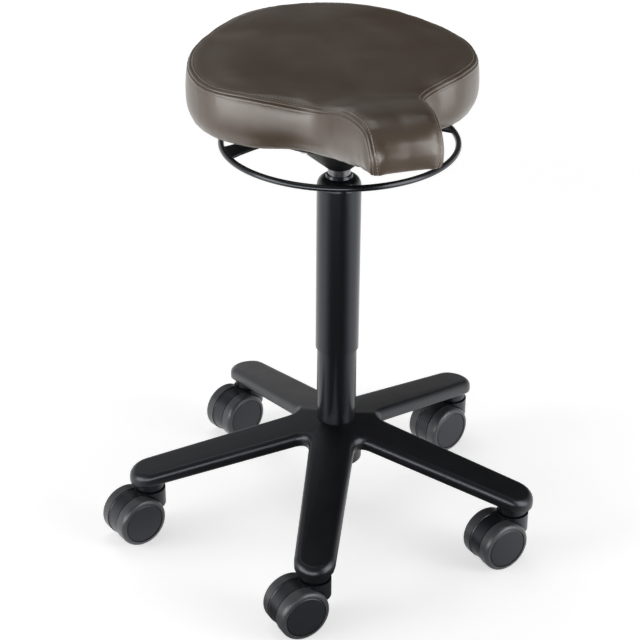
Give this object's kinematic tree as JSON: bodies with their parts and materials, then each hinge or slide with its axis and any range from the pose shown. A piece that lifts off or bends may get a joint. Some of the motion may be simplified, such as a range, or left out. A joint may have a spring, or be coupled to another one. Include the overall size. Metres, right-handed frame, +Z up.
{
  "type": "saddle stool",
  "caption": "Height-adjustable saddle stool: horned upholstered seat, round ring lever, gas-lift column with cover sleeve, and a low arched star base on twin-wheel swivel casters.",
  "frame": {"origin": "on the floor under the column's axis", "axes": "+Z up along the column, -Y towards the horn at the front of the seat, +X to the seat's left-hand side as seen from its front"},
  "size_m": [0.5382, 0.5205, 0.6346],
  "materials": {
    "upholstery": "satin taupe leatherette",
    "foam": "moulded foam",
    "board_wood": "black stained plywood",
    "cast_coat": "satin black powder coat on cast aluminium",
    "base_coat": "satin black powder coat",
    "black_steel": "semi-gloss black",
    "moulding": "dark grey moulded plastic",
    "wheel_plastic": "grey moulded plastic",
    "tread": "soft grey tread",
    "buffer_rubber": "matte",
    "bright_steel": "turned steel"
  },
  "bodies": {
    "base": {"star_base": "cast_coat", "stand_tube": "base_coat", "column_sleeve": "base_coat", "sleeve_cap": "moulding", "guide_bush": "moulding", "lower_race": "bright_steel", "caster_1_stem": "bright_steel", "caster_2_stem": "bright_steel", "caster_3_stem": "bright_steel", "caster_4_stem": "bright_steel", "caster_5_stem": "bright_steel"},
    "swivel_rod": {"piston_rod": "bright_steel", "rod_clip": "bright_steel", "thrust_bearing": "bright_steel", "upper_race": "bright_steel", "rubber_buffer": "buffer_rubber"},
    "seat_unit": {"gas_cylinder": "black_steel", "mechanism_housing": "base_coat", "mounting_plate": "base_coat", "mounting_bolts": "bright_steel", "tee_nuts": "bright_steel", "seat_board": "board_wood", "seat_foam": "foam", "top_cover": "upholstery", "left_band": "upholstery", "right_band": "upholstery"},
    "ring_lever": {"lever_ring": "black_steel", "lever_strip": "black_steel"},
    "pin": {"release_pin": "bright_steel"},
    "caster_1": {"caster_1_housing": "moulding", "caster_1_axle": "bright_steel"},
    "caster_1_inner": {"caster_1_wheel_inner": "wheel_plastic", "caster_1_tread_inner": "tread"},
    "caster_1_outer": {"caster_1_wheel_outer": "wheel_plastic", "caster_1_tread_outer": "tread"},
    "caster_2": {"caster_2_housing": "moulding", "caster_2_axle": "bright_steel"},
    "caster_2_inner": {"caster_2_wheel_inner": "wheel_plastic", "caster_2_tread_inner": "tread"},
    "caster_2_outer": {"caster_2_wheel_outer": "wheel_plastic", "caster_2_tread_outer": "tread"},
    "caster_3": {"caster_3_housing": "moulding", "caster_3_axle": "bright_steel"},
    "caster_3_inner": {"caster_3_wheel_inner": "wheel_plastic", "caster_3_tread_inner": "tread"},
    "caster_3_outer": {"caster_3_wheel_outer": "wheel_plastic", "caster_3_tread_outer": "tread"},
    "caster_4": {"caster_4_housing": "moulding", "caster_4_axle": "bright_steel"},
    "caster_4_inner": {"caster_4_wheel_inner": "wheel_plastic", "caster_4_tread_inner": "tread"},
    "caster_4_outer": {"caster_4_wheel_outer": "wheel_plastic", "caster_4_tread_outer": "tread"},
    "caster_5": {"caster_5_housing": "moulding", "caster_5_axle": "bright_steel"},
    "caster_5_inner": {"caster_5_wheel_inner": "wheel_plastic", "caster_5_tread_inner": "tread"},
    "caster_5_outer": {"caster_5_wheel_outer": "wheel_plastic", "caster_5_tread_outer": "tread"}
  },
  "joints": [
    {"name": "seat_swivel", "type": "hinge", "parent": "base", "child": "swivel_rod", "pos_m": [0, 0, 0.09], "axis": [0, 0, 1], "continuous": true},
    {"name": "seat_lift", "type": "slide", "parent": "swivel_rod", "child": "seat_unit", "axis": [0, 0, 1], "range_m": [0, 0.25]},
    {"name": "ring_lever_tilt", "type": "hinge", "parent": "seat_unit", "child": "ring_lever", "pos_m": [-0.04, 0, 0.5482], "axis": [0, 1, 0], "range_deg": [0, 2.5], "stiffness_Nm_per_rad": 60, "springref_deg": -1.72},
    {"name": "release_pin_press", "type": "slide", "parent": "seat_unit", "child": "pin", "axis": [0, 0, -1], "range_m": [0, 0.0018], "stiffness_N_per_m": 3000, "springref_m": -0.001},
    {"name": "caster_1_swivel", "type": "hinge", "parent": "base", "child": "caster_1", "pos_m": [-0.09884, -0.22199, 0.056], "axis": [0, 0, 1], "continuous": true},
    {"name": "caster_1_inner_spin", "type": "hinge", "parent": "caster_1", "child": "caster_1_inner", "pos_m": [-0.12338, -0.22676, 0.0325], "axis": [0.1908, -0.9816, 0], "continuous": true},
    {"name": "caster_1_outer_spin", "type": "hinge", "parent": "caster_1", "child": "caster_1_outer", "pos_m": [-0.12338, -0.22676, 0.0325], "axis": [0.1908, -0.9816, 0], "continuous": true},
    {"name": "caster_2_swivel", "type": "hinge", "parent": "base", "child": "caster_2", "pos_m": [0.18058, -0.1626, 0.056], "axis": [0, 0, 1], "continuous": true},
    {"name": "caster_2_inner_spin", "type": "hinge", "parent": "caster_2", "child": "caster_2_inner", "pos_m": [0.15633, -0.16865, 0.0325], "axis": [0.2419, -0.9703, 0], "continuous": true},
    {"name": "caster_2_outer_spin", "type": "hinge", "parent": "caster_2", "child": "caster_2_outer", "pos_m": [0.15633, -0.16865, 0.0325], "axis": [0.2419, -0.9703, 0], "continuous": true},
    {"name": "caster_3_swivel", "type": "hinge", "parent": "base", "child": "caster_3", "pos_m": [0.21044, 0.1215, 0.056], "axis": [0, 0, 1], "continuous": true},
    {"name": "caster_3_inner_spin", "type": "hinge", "parent": "caster_3", "child": "caster_3_inner", "pos_m": [0.18743, 0.11173, 0.0325], "axis": [0.3907, -0.9205, 0], "continuous": true},
    {"name": "caster_3_outer_spin", "type": "hinge", "parent": "caster_3", "child": "caster_3_outer", "pos_m": [0.18743, 0.11173, 0.0325], "axis": [0.3907, -0.9205, 0], "continuous": true},
    {"name": "caster_4_swivel", "type": "hinge", "parent": "base", "child": "caster_4", "pos_m": [-0.05052, 0.23769, 0.056], "axis": [0, 0, 1], "continuous": true},
    {"name": "caster_4_inner_spin", "type": "hinge", "parent": "caster_4", "child": "caster_4_inner", "pos_m": [-0.07336, 0.22752, 0.0325], "axis": [0.4067, -0.9135, 0], "continuous": true},
    {"name": "caster_4_outer_spin", "type": "hinge", "parent": "caster_4", "child": "caster_4_outer", "pos_m": [-0.07336, 0.22752, 0.0325], "axis": [0.4067, -0.9135, 0], "continuous": true},
    {"name": "caster_5_swivel", "type": "hinge", "parent": "base", "child": "caster_5", "pos_m": [-0.24167, 0.0254, 0.056], "axis": [0, 0, 1], "continuous": true},
    {"name": "caster_5_inner_spin", "type": "hinge", "parent": "caster_5", "child": "caster_5_inner", "pos_m": [-0.26531, 0.01726, 0.0325], "axis": [0.3256, -0.9455, 0], "continuous": true},
    {"name": "caster_5_outer_spin", "type": "hinge", "parent": "caster_5", "child": "caster_5_outer", "pos_m": [-0.26531, 0.01726, 0.0325], "axis": [0.3256, -0.9455, 0], "continuous": true}
  ],
  "couplings": [
    {"joint": "release_pin_press", "follows": "ring_lever_tilt", "m_per_rad": 0.04}
  ]
}
